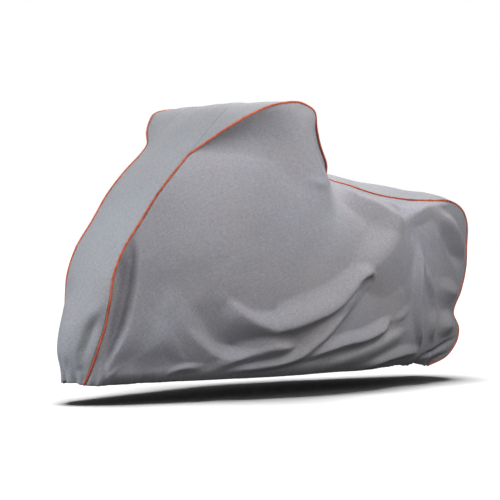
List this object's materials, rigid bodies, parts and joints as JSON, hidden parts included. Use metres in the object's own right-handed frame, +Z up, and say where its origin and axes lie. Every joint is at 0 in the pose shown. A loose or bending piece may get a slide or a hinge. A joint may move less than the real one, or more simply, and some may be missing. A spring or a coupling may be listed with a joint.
{
  "type": "fitted motorcycle cover",
  "caption": "Fitted cloth cover for a motorcycle, in its hung shape: a centre strip over handlebar, seat and tail, top wings, side panels with draped folds, and piped seams.",
  "frame": {"origin": "the place on the cover's underside, on its centre line over the handlebar, where the machine beneath holds it up", "axes": "+X towards the machine's rear, +Y towards the machine's right side, +Z up"},
  "size_m": [2.1141, 0.7905, 1.1271],
  "materials": {
    "strip_cloth": "matt woven polyester, light bluish grey",
    "side_cloth": "matt woven polyester, mid grey",
    "piping": "smooth orange binding over a cord"
  },
  "bodies": {
    "root": {"centre_strip": "strip_cloth", "wing_left": "strip_cloth", "wing_right": "strip_cloth", "side_left": "side_cloth", "side_right": "side_cloth", "piping_left": "piping", "piping_right": "piping"}
  },
  "joints": []
}
